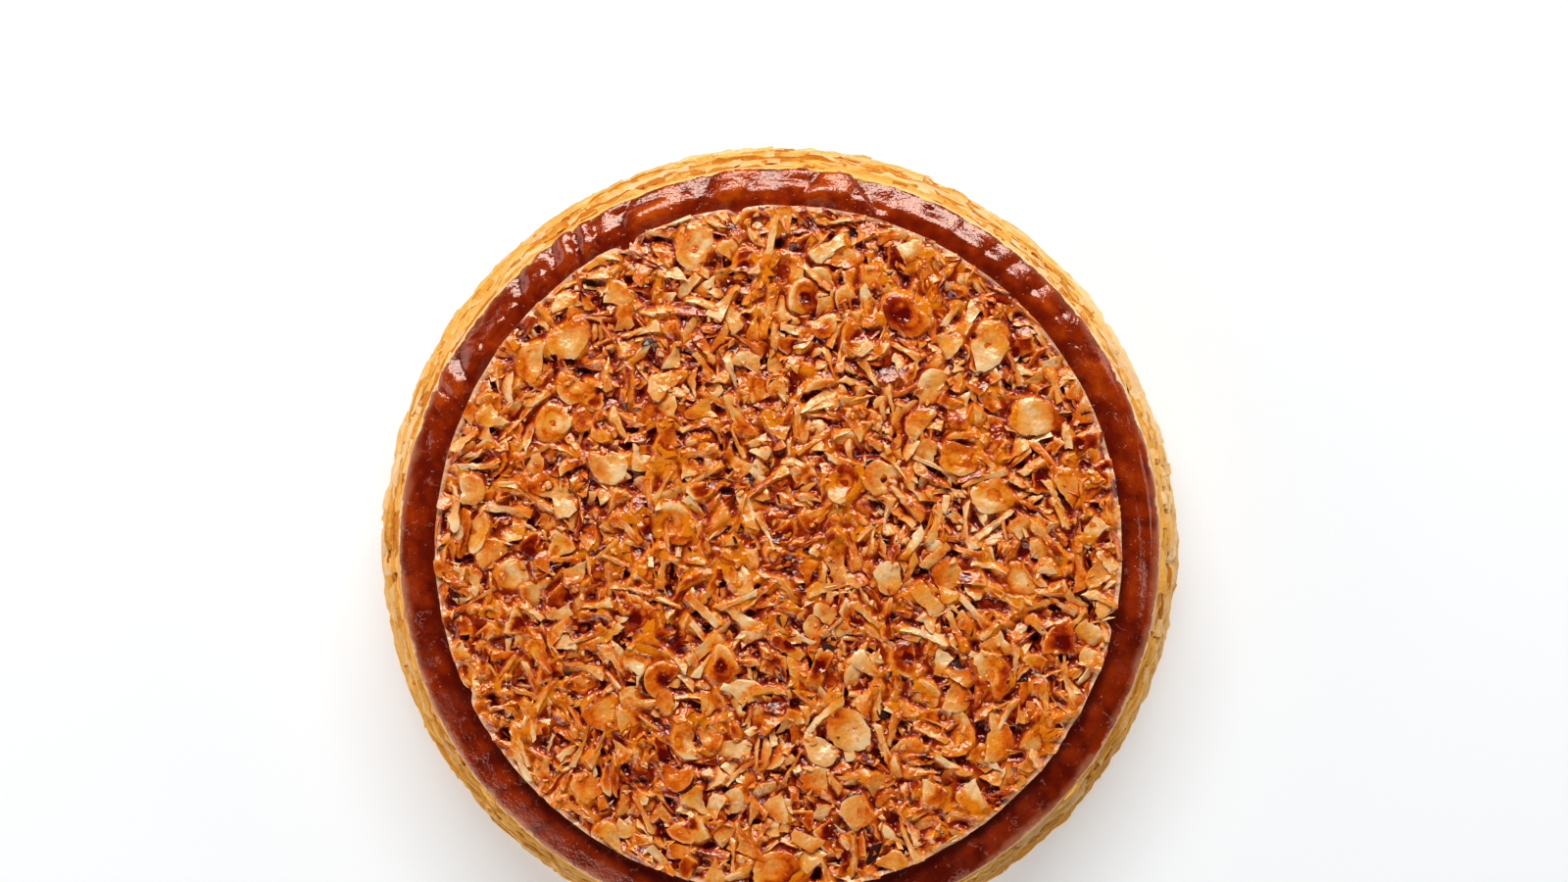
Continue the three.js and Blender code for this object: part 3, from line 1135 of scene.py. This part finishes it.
def lowest_spot(points, tries, reach):
    """The spot in the disc, out of a few, where the heap under the points is lowest."""
    spots = (way_at(rng.uniform(0, TURN, tries)) * reach * np.sqrt(rng.uniform(0, 1, tries))).T
    numbers = cell_numbers(points[None] + spots[:, None])
    level = np.where(inside_rim[numbers], heap[numbers], DISC_TOP).mean(1)
    return spots[level.argmin()]


def lie_down(points, spot, thickness, ceiling, lean):
    """Slope and height of a piece at rest, or None where it would stand too high."""
    numbers = cell_numbers(points + spot)
    below = heap[numbers]
    plan = np.column_stack([points, np.ones(len(points))])
    slope = np.linalg.lstsq(plan, below, rcond=None)[0][:2]
    slope *= min(1, MOST_SLOPE / max(np.hypot(*slope), 1e-6))
    slope = slope + lean
    sunk = SINK_SHARE * (1 - LEANT_SINK * min(1, np.hypot(*lean) / STEEP))
    height = np.quantile(below - points @ slope, sunk)
    top = points @ slope + height + thickness
    if top.max() > ceiling:
        return None
    heap[numbers] = np.maximum(below, top)
    return slope, height


# %% Drop the nut pieces
CEILING = DISC_TOP + 0.1
TOP_CEILING = CEILING + 0.5
DROPS = 6400
SHARES = {"slices": 0.1, "chips": 0.34, "slivers": 0.56}
TOP_DROPS = 420
TOP_SHARES = {"slices": 0.16, "chips": 0.38, "slivers": 0.46}
THICKNESSES = {"slices": (0.7, 1.1), "chips": (0.65, 1.1), "slivers": (0.8, 1.8)}
LEAN = math.radians(22)
MOST_LEAN = math.radians(58)
SPOTS_TRIED = 7
LEAST_CELLS = 9
Laid = namedtuple("Laid", "points outline heart size spot thickness slope height")
dropped = {kind: [] for kind in SHARES}


def drop(kind, ceiling):
    """One nut piece: leant over, trimmed at the rim, laid on the heap and kept."""
    outline, heart, size = nut_outline(kind)
    lean = min(abs(rng.normal(0, LEAN)), MOST_LEAN)
    lean_way = way_at(rng.uniform(0, TURN))
    outline = outline - np.outer(outline @ lean_way, lean_way) * (1 - math.cos(lean))
    heart = heart - lean_way * (heart @ lean_way) * (1 - math.cos(lean))
    spot = lowest_spot(cells_under(outline), SPOTS_TRIED, DISC_RADIUS)
    outwards = spot / np.hypot(*spot)
    reach = rim(*spot) - np.hypot(*spot)
    outline = broken(outline, outwards, reach)
    if len(outline) < 3 or area_of(outline) < LEAST_AREAS[kind] / 4:
        return
    points = cells_under(outline)
    thickness = rng.uniform(*THICKNESSES[kind]) / math.cos(lean)
    if len(points) < LEAST_CELLS:
        return
    rest = lie_down(points, spot, thickness, ceiling, lean_way * math.tan(lean))
    if rest:
        outline = roughened(outline)
        outline = curved(outline) if kind == "slivers" else bitten(outline)
        outline = broken(outline, outwards, reach)
        dropped[kind].append(Laid(points, outline, heart, size, spot, thickness, *rest))


for count, shares, ceiling in ((DROPS, SHARES, CEILING), (TOP_DROPS, TOP_SHARES, TOP_CEILING)):
    for kind in rng.choice(list(shares), count, p=list(shares.values())):
        drop(kind, ceiling)
print("nut pieces:", {kind: len(kept) for kind, kept in dropped.items()})
print("heap from", heap[inside_rim].min().round(2), "mean", heap[inside_rim].mean().round(2))

# %% [markdown]
# What lies wholly buried would only cost triangles, so it is left out, apart from the wall, where the
# knife laid it open. A slice is hollow at its heart, so the heap sinks there wherever a heart shows.

# %% Leave out what is buried, and hollow out the hearts
HEART_REACH = 0.45
HEART_DEPTH = 1.4


def shows(piece):
    """Whether a piece shows or is near the wall; what shows of its heart sinks in the heap."""
    numbers = cell_numbers(piece.points + piece.spot)
    on_top = piece.points @ piece.slope + piece.height + piece.thickness > heap[numbers] - 0.1
    in_heart = on_top & (np.hypot(*(piece.points - piece.heart).T) < HEART_REACH * piece.size)
    heap[tuple(number[in_heart] for number in numbers)] -= HEART_DEPTH
    return on_top.sum() > 2 or from_rim[cell_numbers(piece.spot)] < WALL_WIDTH


for kind, pieces in dropped.items():
    dropped[kind] = [piece for piece in pieces if shows(piece)]
print("nut pieces that show:", {kind: len(kept) for kind, kept in dropped.items()})

# %% [markdown]
# Last come the small things: crumbs of nut, and dark bits of the brown skin that the slicing rubbed
# off, which fall into the pits. They lie far from the heart of the nut that they came from.

# %% Crumbs and skins
BIT_CORNERS = 5
BIT_STRETCH = 1.6
BIT_LEAN = 0.3
BIT_CEILING = CEILING + 0.2
FROM_HEART = 9.0


def bit(half_sizes, tries, thickness):
    """A small bit on the heap, or None where it would stand too high."""
    angles = np.arange(BIT_CORNERS) * TURN / BIT_CORNERS
    angles = np.sort(rng.uniform(0, TURN / 4, BIT_CORNERS) + angles)
    outline = rng.uniform(*half_sizes, BIT_CORNERS)[:, None] * way_at(angles).T
    longer = way_at(rng.uniform(0, TURN))
    outline = outline + np.outer(outline @ longer, longer) * rng.uniform(0, BIT_STRETCH)
    points = cells_under(outline)
    if len(points) < 2:
        points = outline
    spot = lowest_spot(points, tries, DISC_RADIUS - 2)
    rest = lie_down(points, spot, thickness, BIT_CEILING, rng.normal(0, BIT_LEAN, 2))
    if rest is None:
        return None
    return Laid(points, outline, np.array([0, FROM_HEART]), FROM_HEART, spot, thickness, *rest)


def bits(count, half_sizes, thicknesses, tries):
    """Many small bits on the heap; with more tries they lie deeper."""
    tried = (bit(half_sizes, tries, rng.uniform(*thicknesses)) for _ in range(count))
    return [made for made in tried if made]


dropped["skins"] = bits(count=16, half_sizes=(1.0, 2.6), thicknesses=(0.25, 0.4), tries=14)
dropped["crumbs"] = bits(count=1900, half_sizes=(0.4, 1.1), thicknesses=(0.4, 0.9), tries=2)
print("crumbs:", len(dropped["crumbs"]), "skins:", len(dropped["skins"]))

# %% [markdown]
# The caramel was poured hot. It runs into the narrow gaps and fills them, climbs at the nuts, and
# leaves the wide pits open. A fluid could be simulated, but the heights in the grid are enough: when
# the highest neighbours are spread over each cell and then drawn back, gaps narrower than the reach
# close up and wider ones stay. A blur then gives the smooth skin.

# %% Spread and smooth the heights
def blurred(field, radius):
    """The field, smoothed over a radius in millimetres."""
    reach = int(3 * radius / CELL)
    offsets = np.arange(-reach, reach + 1)
    weights = np.exp(-0.5 * (offsets * CELL / radius) ** 2)
    weights /= weights.sum()
    for axis in (0, 1):
        field = sum(w * np.roll(field, offset, axis) for w, offset in zip(weights, offsets))
    return field


def blurred_inside(field, radius):
    """Smoothed without what lies outside the rim."""
    return blurred(field * inside_rim, radius) / np.maximum(blurred(inside_rim * 1.0, radius), 1e-3)


def spread(field, reach, pick, slope=0.0):
    """Each cell set to the pick of its round neighbourhood, which falls off with a slope."""
    cells = int(reach / CELL)
    span = range(-cells, cells + 1)
    shifts = [(i, j) for i in span for j in span if i * i + j * j <= cells * cells + 0.5]
    result = field
    for shift in shifts:
        result = pick(result, np.roll(field, shift, (0, 1)) - slope * CELL * math.hypot(*shift))
    return result


def field_at(field, x, y):
    """A field of the grid at any places, smoothly between its cells."""
    row, column = x / CELL + HALF, y / CELL + HALF
    low_row = np.clip(np.floor(row).astype(int), 0, 2 * HALF - 1)
    low_column = np.clip(np.floor(column).astype(int), 0, 2 * HALF - 1)
    down, right = row - low_row, column - low_column
    near = field[low_row, low_column] * (1 - right) + field[low_row, low_column + 1] * right
    far = field[low_row + 1, low_column] * (1 - right) + field[low_row + 1, low_column + 1] * right
    return near * (1 - down) + far * down


# %% [markdown]
# The skin is sunk a little, so that the nuts stand out of it, more in some patches than in others.
# Pits stay open in the lowest spots, where a bubble burst. At the cut edge the caramel reaches up to
# the mean height of the heap, so the edge is clean and round.

# %% Skin of the caramel
GAP_REACH = 1.5
CARAMEL_SINK = 0.8
SINK_SPREAD = 0.4
SINK_LIMITS = (0.15, 1.4)
PATCH_SIZE = 5.5
CLIMB_REACH = 2.0
CLIMB_SLOPE = 1.3
FILM = 0.6
SKIN_BLUR = 0.5
TOP_BLUR = 4
PITS = 420
PIT_TRIES = 30
PIT_RADII = (0.8, 1.7)
PIT_DEPTHS = (0.8, 1.8)
EDGE_WIDTHS = (0.8, 2.6)
EDGE_RISE = 0.3
closed = spread(spread(heap, GAP_REACH, np.maximum), GAP_REACH, np.minimum)
patches = blurred(rng.normal(0, 1, heap.shape), PATCH_SIZE)
sink = np.clip(CARAMEL_SINK + SINK_SPREAD * patches / patches.std(), *SINK_LIMITS)
climbing = spread(heap - 0.5 * sink, CLIMB_REACH, np.maximum, CLIMB_SLOPE)
pools = np.minimum(closed, heap + FILM) - sink
skin = blurred_inside(np.maximum(climbing, pools), SKIN_BLUR)
smooth_top = blurred_inside(heap, TOP_BLUR)
for _ in range(PITS):
    spot = lowest_spot(np.zeros((1, 2)), PIT_TRIES, DISC_RADIUS - 3)
    away = np.hypot(cell_x - spot[0], cell_y - spot[1]) / rng.uniform(*PIT_RADII)
    skin = skin - rng.uniform(*PIT_DEPTHS) * (1 - between(away, 0.6, 1.1))
at_edge = 1 - between(from_rim, *EDGE_WIDTHS)
rim_top = smooth_top + EDGE_RISE * (1 + patches / patches.std())
skin = skin + (np.maximum(rim_top, skin) - skin) * at_edge
print("nuts stand clear on", (((heap > skin) & inside_rim).sum() / inside_rim.sum()).round(3))

# %% [markdown]
# Each piece becomes a thin slab: rings of points on its upper face, a rim that steps down for a soft
# edge, and a flat underside. A ring is given by its share of the outline and of the thickness. The
# slab curls a little, as roasted slices do, and is dented at the nut's heart. Its points carry what
# the finish needs: how far they lie from the heart and from the piece's middle, where they lie along
# a slant, for painted shade on one side of each piece, how deep they are in the heap, for painted
# shade low in it, and how far they stand clear of the caramel. Each piece also has a tone, and by
# chance some skin on its rim, or a hollow where caramel pools.

# %% Nut pieces as slabs
RINGS = {
    "slices": ((0.3, 0), (0.62, 0), (0.94, 0.05), (1, 0.3), (0.98, 1)),
    "chips": ((0.55, 0), (0.94, 0.05), (1, 0.3), (0.98, 1)),
    "slivers": ((0.8, 0.05), (1, 0.4), (0.93, 1)),
    "skins": ((0.6, 0), (1, 0.5), (0.9, 1)),
    "crumbs": ((0.6, 0.1), (1, 0.5), (0.9, 1)),
}
CURLS = {"slices": 0.02, "chips": 0.03, "slivers": 0.02, "skins": 0.12, "crumbs": 0.0}
DENT_SHARE = 0.8
SKINNED_AND_HOLLOW = (0.1, 0.25)


def slab_faces(rings, sides):
    """Faces of a slab: a fan, bands between its rings and an underside."""
    nexts = [(side + 1) % sides for side in range(sides)]
    faces = [[0, 1 + side, 1 + nexts[side]] for side in range(sides)]
    for ring in range(rings - 1):
        near = 1 + ring * sides
        far = near + sides
        faces += [[near + s, far + s, far + nexts[s], near + nexts[s]] for s in range(sides)]
    last = 1 + (rings - 1) * sides
    faces.append([last + side for side in range(sides)][::-1])
    return faces


def slab(kind, piece):
    """Points of a nut piece, and for each its place from the heart, from the middle and on a slant for
    painted shade.
    """
    sides = len(piece.outline)
    shares, drops = np.transpose(RINGS[kind])
    flat = np.concatenate([np.zeros((1, 2))] + [piece.outline * share for share in shares])
    lower = np.concatenate([[0.0], np.repeat(drops * piece.thickness, sides)])
    heart = np.hypot(*(flat - piece.heart).T) / piece.size
    edge = np.concatenate([[0.0], np.repeat(shares, sides)])
    along = flat @ way_at(rng.uniform(0, TURN))
    curl = rng.normal(0.5, 1) * CURLS[kind] * (along**2 - np.mean(along**2))
    dent = DENT_SHARE * piece.thickness * (1 - between(heart, 0.1, HEART_REACH))
    dent *= lower < 0.9 * piece.thickness
    tall = flat @ piece.slope + piece.height + piece.thickness - lower + curl - dent
    return np.column_stack([flat + piece.spot, tall]), heart, edge, along / piece.size


def add_nut(made, kind, piece):
    """Add one nut piece to a joined mesh, with what its finish needs."""
    points, heart, edge, slant = slab(kind, piece)
    sunk = field_at(smooth_top, points[:, 0], points[:, 1]) - points[:, 2]
    clear = points[:, 2] - field_at(skin, points[:, 0], points[:, 1])
    points[:, :2] += AXIS
    skinned, hollow = rng.uniform(size=2) < SKINNED_AND_HOLLOW
    places = {"heart": heart, "edge": edge, "slant": slant, "sunk": sunk, "clear": clear}
    chances = {"tone": rng.uniform(), "skinned": skinned, "hollow": hollow}
    made.add(points, slab_faces(len(RINGS[kind]), len(piece.outline)), **places, **chances)


nut_meshes = {kind: JoinedMesh() for kind in dropped}
for kind, pieces in dropped.items():
    for piece in pieces:
        add_nut(nut_meshes[kind], kind, piece)
print("points:", {kind: made.count for kind, made in nut_meshes.items()})

# %% [markdown]
# Toasted hazelnut is cream to tan. Its heart may be hollow and filled with brown caramel, and its rim
# may keep a dark thread of skin. Where a piece lies low or was turned over in the pan, a film of
# amber caramel covers it, deepens its colour and makes it shine; low in the heap the darker colour is
# also painted shade, and so is the darker side of each piece along its slant. One score, from dry to
# drowned and shaded, runs along a ramp of those colours.

# %% Nut finish
CREAM = screen_colour(252, 212, 156)
TAN = screen_colour(243, 166, 80)
AMBER = screen_colour(230, 107, 13)
HONEY = screen_colour(242, 152, 22)
RUST = screen_colour(160, 44, 6)
BURNT = screen_colour(98, 6, 1)
HUSK = screen_colour(70, 20, 8)
DARK_HUSK = screen_colour(26, 8, 6)
WARM_GLINT = (1, 0.86, 0.74, 1)
DRY_TO_DROWNED_AND_SHADED = ((0.06, CREAM), (0.27, TAN), (0.48, AMBER), (0.7, RUST), (0.95, BURNT))


def nut_finish(name):
    """Hazelnut flesh under a film of caramel."""
    finish = Finish(name)
    heart = carried(finish, "heart")
    is_hollow = carried(finish, "hollow")
    region = grain(finish, 40)
    cloud = grain(finish, 5, detail=2)
    wave = grain(finish, 2.4, detail=1)
    fibre = grain(finish, 0.8)
    # Low in the heap the colour deepens: partly the caramel film, partly painted shade.
    sunk_shade_and_film = step(carried(finish, "sunk") + wave * 0.5, 0.2, 2.2)
    wet = 1 - step(carried(finish, "clear") + wave * 0.4, 0.1, 0.9)
    pooled = (1 - step(carried(finish, "edge") + cloud * 0.5, 0.75, 1.3)) * is_hollow
    hollow = (1 - step(heart + wave * 0.5, 0.4, 0.75)) * is_hollow
    # The slant darkens one side of each piece as painted shade.
    score = carried(finish, "tone") * 0.3 + carried(finish, "slant") * 0.22
    score = score + region * 0.25 + cloud * 0.6 + fibre * 0.3
    score = score + pooled * 0.25 + wet * 0.3 + sunk_shade_and_film * 0.4 + hollow * 0.5 - 0.44
    honeyed = step(grain(finish, 7, detail=2), 0.5, 0.66) * step(1 - score, 0.4, 0.6)
    skinned = step(heart, 0.96, 0.98) * carried(finish, "skinned")
    colour = mixed(honeyed * 0.6, ramped(score, *DRY_TO_DROWNED_AND_SHADED), HONEY)
    finish.surface(
        Base_Color=mixed(skinned, colour, HUSK),
        Roughness=0.2 - step(score, 0.1, 0.5) * 0.15,
        Specular_IOR_Level=1.0,
        Specular_Tint=WARM_GLINT,
        Normal=bumped(wave + fibre * 0.3, depth=0.6, strength=0.9),
    )
    return finish


def husk_finish(name):
    """Dry brown skin, nearly black, with a dull sheen."""
    finish = Finish(name)
    mottle = grain(finish, 1.2)
    finish.surface(
        Base_Color=ramped(mottle, (0.35, DARK_HUSK), (0.7, HUSK)),
        Roughness=0.6,
        Specular_IOR_Level=0.2,
        Coat_Weight=0.15,
        Coat_Roughness=0.15,
        Normal=bumped(mottle, depth=0.2, strength=0.5),
    )
    return finish


hazelnut = nut_finish("toasted_hazelnut")
husk = husk_finish("hazelnut_skin")
nut_pieces = []
for kind, made in nut_meshes.items():
    nut_pieces.append(made.to_piece("hazelnut_" + kind, husk if kind == "skins" else hazelnut))

# %% [markdown]
# The caramel itself starts as a flat grid as wide as the disc. What lies outside the cut edge is
# deleted, the points left at the edge are pushed out onto it, and the grid takes the heights of the
# skin. Its open edge is then extruded down to the crust and filled, so that it is a closed body.

# %% Caramel grid
GRID_STEP = 0.62
GRID_SIDE = 2 * (DISC_RADIUS + 1)
WALL_INSET = 0.15
EDGE_MARGIN = 0.4 * GRID_STEP
cuts = int(GRID_SIDE / GRID_STEP)
bpy.ops.object.select_all(action="DESELECT")
bpy.ops.mesh.primitive_grid_add(
    x_subdivisions=cuts, y_subdivisions=cuts, size=GRID_SIDE * MM, location=on_axis
)
caramel = bpy.context.object
caramel.name = "caramel"
bpy.ops.object.transform_apply(location=True)
grid = points_of(caramel)[:, :2] - AXIS
outside = np.hypot(*grid.T) > rim(*grid.T) - WALL_INSET - EDGE_MARGIN
bpy.ops.object.mode_set(mode="EDIT")
bpy.ops.mesh.select_mode(type="VERT")
bpy.ops.mesh.select_all(action="DESELECT")
bpy.ops.object.mode_set(mode="OBJECT")
caramel.data.vertices.foreach_set("select", outside)
bpy.ops.object.mode_set(mode="EDIT")
bpy.ops.mesh.delete(type="VERT")
bpy.ops.mesh.select_non_manifold()
bpy.ops.object.mode_set(mode="OBJECT")
print("caramel grid of", len(caramel.data.vertices), "points")

# %% Caramel body
JUST_INSIDE = 0.997
WALL_SINK = 0.3
WALL_FOOT = (0, 0, (CRUST_FLAT - WALL_SINK) * MM)
SHARP_ANGLE = math.radians(50)
on_edge = np.zeros(len(caramel.data.vertices), bool)
caramel.data.vertices.foreach_get("select", on_edge)
grid = points_of(caramel)[:, :2] - AXIS
grid *= np.where(on_edge, (rim(*grid.T) - WALL_INSET) / np.hypot(*grid.T), 1)[:, None]
skin_height = field_at(skin, *(grid * JUST_INSIDE).T)
below = field_at(smooth_top, *grid.T) - skin_height
move_points(caramel, np.column_stack([grid + AXIS, skin_height]))
bpy.ops.object.mode_set(mode="EDIT")
bpy.ops.mesh.extrude_edges_move(TRANSFORM_OT_translate={"value": (0, 0, 0)})
bpy.ops.transform.resize(value=(1, 1, 0), center_override=WALL_FOOT)
bpy.ops.mesh.edge_face_add()
face_outwards()
bpy.ops.object.shade_smooth_by_angle(angle=SHARP_ANGLE)
added = np.ones(len(caramel.data.vertices) - len(below))
carry(
    caramel,
    below=np.append(below, added * below.mean()),
    wall=np.append(0 * below, added),
    cut=np.append(field_at(at_edge, *grid.T), added),
)
print("caramel below the tops", np.percentile(below, (5, 25, 50, 75, 95)).round(2))
print("caramel of", triangles_of(caramel), "triangles")

# %% [markdown]
# Caramel is clear, so a thin film of it near the tops of the nuts is amber and a thick one is dark. A
# clear body would need many bounces of light, so the colour is painted instead, by how far the skin
# lies below the tops of the heap; down in the pits this darkening is also painted shade, nearly black
# at their bottom. A pale band runs along the cut edge: partly the pale nuts that the knife went
# through, partly a painted highlight where the edge catches the light. The wall below it shows their
# layers.

# %% Caramel finish
THIN_CARAMEL = screen_colour(232, 128, 14)
MID_CARAMEL = screen_colour(164, 46, 6)
DEEP_CARAMEL = screen_colour(100, 6, 2)
CUT_EDGE = screen_colour(238, 184, 140)
THIN_TO_DEEP_SHADED = ((0.0, THIN_CARAMEL), (0.24, MID_CARAMEL), (0.58, DEEP_CARAMEL))
WALL_LAYERS = ((0.36, DEEP_CARAMEL), (0.43, MID_CARAMEL), (0.48, TAN), (0.56, CUT_EDGE), (0.7, CREAM))
LAYER_STRETCH = (1, 1, 3.5)
amber = Finish("amber_caramel")
swirl = grain(amber, 5)
layer = grain(amber, 4, LAYER_STRETCH)
# Deep in the pits the darker caramel is also painted shade.
caramel_colour = ramped(carried(amber, "below") * 0.4 + swirl * 0.5, *THIN_TO_DEEP_SHADED)
on_wall = step(carried(amber, "wall") + layer * 0.2, 0.12, 0.3)
cut_colour = mixed(on_wall, CUT_EDGE, ramped(layer, *WALL_LAYERS))
# The pale band at the cut edge: partly pale cut nuts, partly painted highlight where the edge catches
# the light.
is_cut = step(carried(amber, "cut") + swirl * 0.6, 0.75, 1.25)
amber.surface(
    Base_Color=mixed(is_cut, caramel_colour, cut_colour),
    Roughness=0.06,
    Specular_IOR_Level=0.6,
    Specular_Tint=WARM_GLINT,
    Normal=bumped(grain(amber, 2.2, detail=1), depth=1.0, strength=1.0),
)
caramel.data.materials.append(amber.material)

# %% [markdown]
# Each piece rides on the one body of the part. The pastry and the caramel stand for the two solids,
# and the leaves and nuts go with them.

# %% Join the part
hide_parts("pastry")
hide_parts("nut_disc")
for piece in (pastry, pastry_leaves):
    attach(piece, "root")
for piece in (caramel, *nut_pieces):
    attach(piece, "root")
print("pieces:", [piece.name for piece in (pastry, pastry_leaves, caramel, *nut_pieces)])
